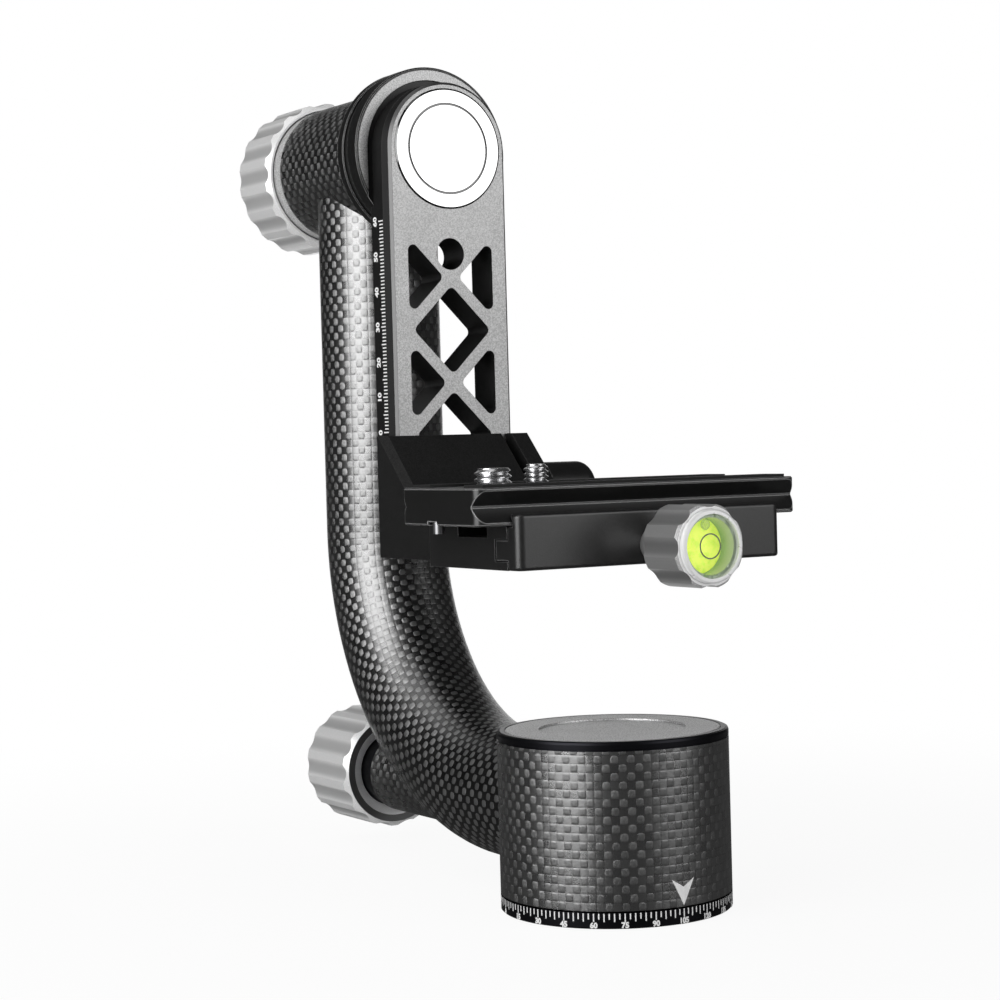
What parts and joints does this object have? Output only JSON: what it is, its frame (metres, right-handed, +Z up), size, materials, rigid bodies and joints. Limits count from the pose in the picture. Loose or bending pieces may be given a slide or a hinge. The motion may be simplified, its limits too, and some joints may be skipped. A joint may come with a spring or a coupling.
{
  "type": "gimbal tripod head",
  "caption": "Side-mount gimbal tripod head: a bent carbon arm on a panning base carries a swinging rail with a height-adjustable quick-release platform.",
  "frame": {"origin": "the mouth of the tripod thread, on the pan axis at the underside of the base", "axes": "+Z up along the pan axis, +X the way the lens points, +Y from the platform to the arm; the tilt axis is parallel to Y"},
  "size_m": [0.0975, 0.2146, 0.2296],
  "materials": {
    "black_anodised": "satin black anodised, fine grain",
    "carbon": "plain-weave carbon fibre under a satin clear coat",
    "grey_anodised": "bead-blasted grey anodised",
    "silver": "satin silver anodised with turned faces",
    "raw_aluminium": "turned",
    "polished": "polished",
    "steel": "bright stainless steel",
    "brass": "turned",
    "polymer": "smooth bearing polymer",
    "rubber": "ribbed",
    "vial": "lime spirit-level vial",
    "lens": "clear acrylic"
  },
  "bodies": {
    "base": {"base_plate": "black_anodised", "thread_bushing": "steel", "pan_spindle": "raw_aluminium", "spindle_screws": "steel", "pan_thrust_washer": "polymer", "pan_bearing_inner_race": "steel", "pan_retaining_nut": "brass"},
    "housing": {"base_sleeve": "carbon", "housing_core": "raw_aluminium", "bearing_outer_races": "steel", "bearing_balls": "steel", "bearing_circlip": "steel", "top_cap": "black_anodised", "top_disc": "grey_anodised", "cap_screws": "steel", "arm_tube": "carbon", "arm_base_plug": "raw_aluminium", "arm_top_plug": "raw_aluminium", "arm_screws": "steel", "stub_tube": "carbon", "stub_bush": "black_anodised", "hub_tube": "carbon", "hub_core": "raw_aluminium", "hub_flange": "black_anodised", "flange_screws": "steel", "friction_ring": "polymer", "hub_end_ring": "grey_anodised"},
    "pan_pad": {"pan_brake_pad": "polymer"},
    "pan_knob": {"pan_lock_knob": "silver", "pan_lock_rod": "steel"},
    "tilt_pad": {"tilt_brake_pad": "polymer"},
    "tilt_knob": {"tilt_lock_knob": "silver", "tilt_lock_rod": "steel"},
    "swing_arm": {"tilt_shaft": "steel", "tilt_bearing_inner_races": "steel", "tilt_nut": "brass", "rotor_disc": "black_anodised", "rotor_face": "grey_anodised", "swing_rail": "grey_anodised", "axis_cap": "polished", "rotor_screws": "steel"},
    "platform": {"platform_bracket": "black_anodised", "clamp_base": "black_anodised", "clamp_base_screws": "steel"},
    "rail_jaw": {"rail_jaw": "black_anodised"},
    "height_knob": {"height_knob": "black_anodised", "height_screw": "steel"},
    "clamp_jaw": {"clamp_jaw": "black_anodised"},
    "clamp_knob": {"clamp_knob": "silver", "clamp_screw": "steel", "level_bezel": "silver", "level_vial": "vial", "level_lens": "lens"},
    "release_plate": {"release_plate": "black_anodised", "plate_pads": "rubber", "plate_stop_pins": "steel"},
    "big_washer": {"big_screw_washer": "steel"},
    "big_screw": {"big_camera_screw": "steel"},
    "small_washer": {"small_screw_washer": "steel"},
    "small_screw": {"small_camera_screw": "steel"}
  },
  "joints": [
    {"name": "pan", "type": "hinge", "parent": "base", "child": "housing", "pos_m": [0, 0, 0], "axis": [0, 0, 1], "continuous": true},
    {"name": "tilt", "type": "hinge", "parent": "housing", "child": "swing_arm", "pos_m": [0, 0.0918, 0.205], "axis": [0, 1, 0], "continuous": true},
    {"name": "pan_brake_slide", "type": "slide", "parent": "housing", "child": "pan_pad", "axis": [0, 1, 0], "range_m": [0, 0.0015]},
    {"name": "pan_knob_turn", "type": "hinge", "parent": "pan_pad", "child": "pan_knob", "pos_m": [0, 0.1184, 0.0229], "axis": [0, 1, 0], "range_deg": [0, 540.01]},
    {"name": "tilt_brake_slide", "type": "slide", "parent": "housing", "child": "tilt_pad", "axis": [0, 1, 0], "range_m": [0, 0.0015]},
    {"name": "tilt_knob_turn", "type": "hinge", "parent": "tilt_pad", "child": "tilt_knob", "pos_m": [0, 0.1484, 0.205], "axis": [0, 1, 0], "range_deg": [0, 540.01]},
    {"name": "platform_height", "type": "slide", "parent": "swing_arm", "child": "platform", "axis": [0, 0, 1], "range_m": [0, 0.06]},
    {"name": "rail_jaw_slide", "type": "slide", "parent": "platform", "child": "rail_jaw", "axis": [1, 0, 0], "range_m": [0, 0.0015]},
    {"name": "height_knob_turn", "type": "hinge", "parent": "rail_jaw", "child": "height_knob", "pos_m": [0.022, 0.0674, 0.1068], "axis": [1, 0, 0], "range_deg": [0, 540.01]},
    {"name": "clamp_jaw_slide", "type": "slide", "parent": "platform", "child": "clamp_jaw", "axis": [0, -1, 0], "range_m": [0, 0.0015]},
    {"name": "clamp_knob_turn", "type": "hinge", "parent": "clamp_jaw", "child": "clamp_knob", "pos_m": [0, -0.0211, 0.0943], "axis": [0, -1, 0], "range_deg": [0, 540.01]},
    {"name": "plate_slide", "type": "slide", "parent": "platform", "child": "release_plate", "axis": [1, 0, 0], "range_m": [-0.028, 0.028]},
    {"name": "big_screw_slide", "type": "slide", "parent": "release_plate", "child": "big_washer", "axis": [1, 0, 0], "range_m": [-0.004, 0]},
    {"name": "big_screw_spin", "type": "hinge", "parent": "big_washer", "child": "big_screw", "pos_m": [-0.0336, 0.00065, 0.1099], "axis": [0, 0, 1], "continuous": true},
    {"name": "small_screw_slide", "type": "slide", "parent": "release_plate", "child": "small_washer", "axis": [1, 0, 0], "range_m": [0, 0.05]},
    {"name": "small_screw_spin", "type": "hinge", "parent": "small_washer", "child": "small_screw", "pos_m": [-0.0208, 0.00065, 0.1099], "axis": [0, 0, 1], "continuous": true}
  ],
  "couplings": [
    {"joint": "pan_knob_turn", "follows": "pan_brake_slide", "rad_per_m": 6283.2},
    {"joint": "tilt_knob_turn", "follows": "tilt_brake_slide", "rad_per_m": 6283.2},
    {"joint": "height_knob_turn", "follows": "rail_jaw_slide", "rad_per_m": 6283.2},
    {"joint": "clamp_knob_turn", "follows": "clamp_jaw_slide", "rad_per_m": 6283.2}
  ]
}
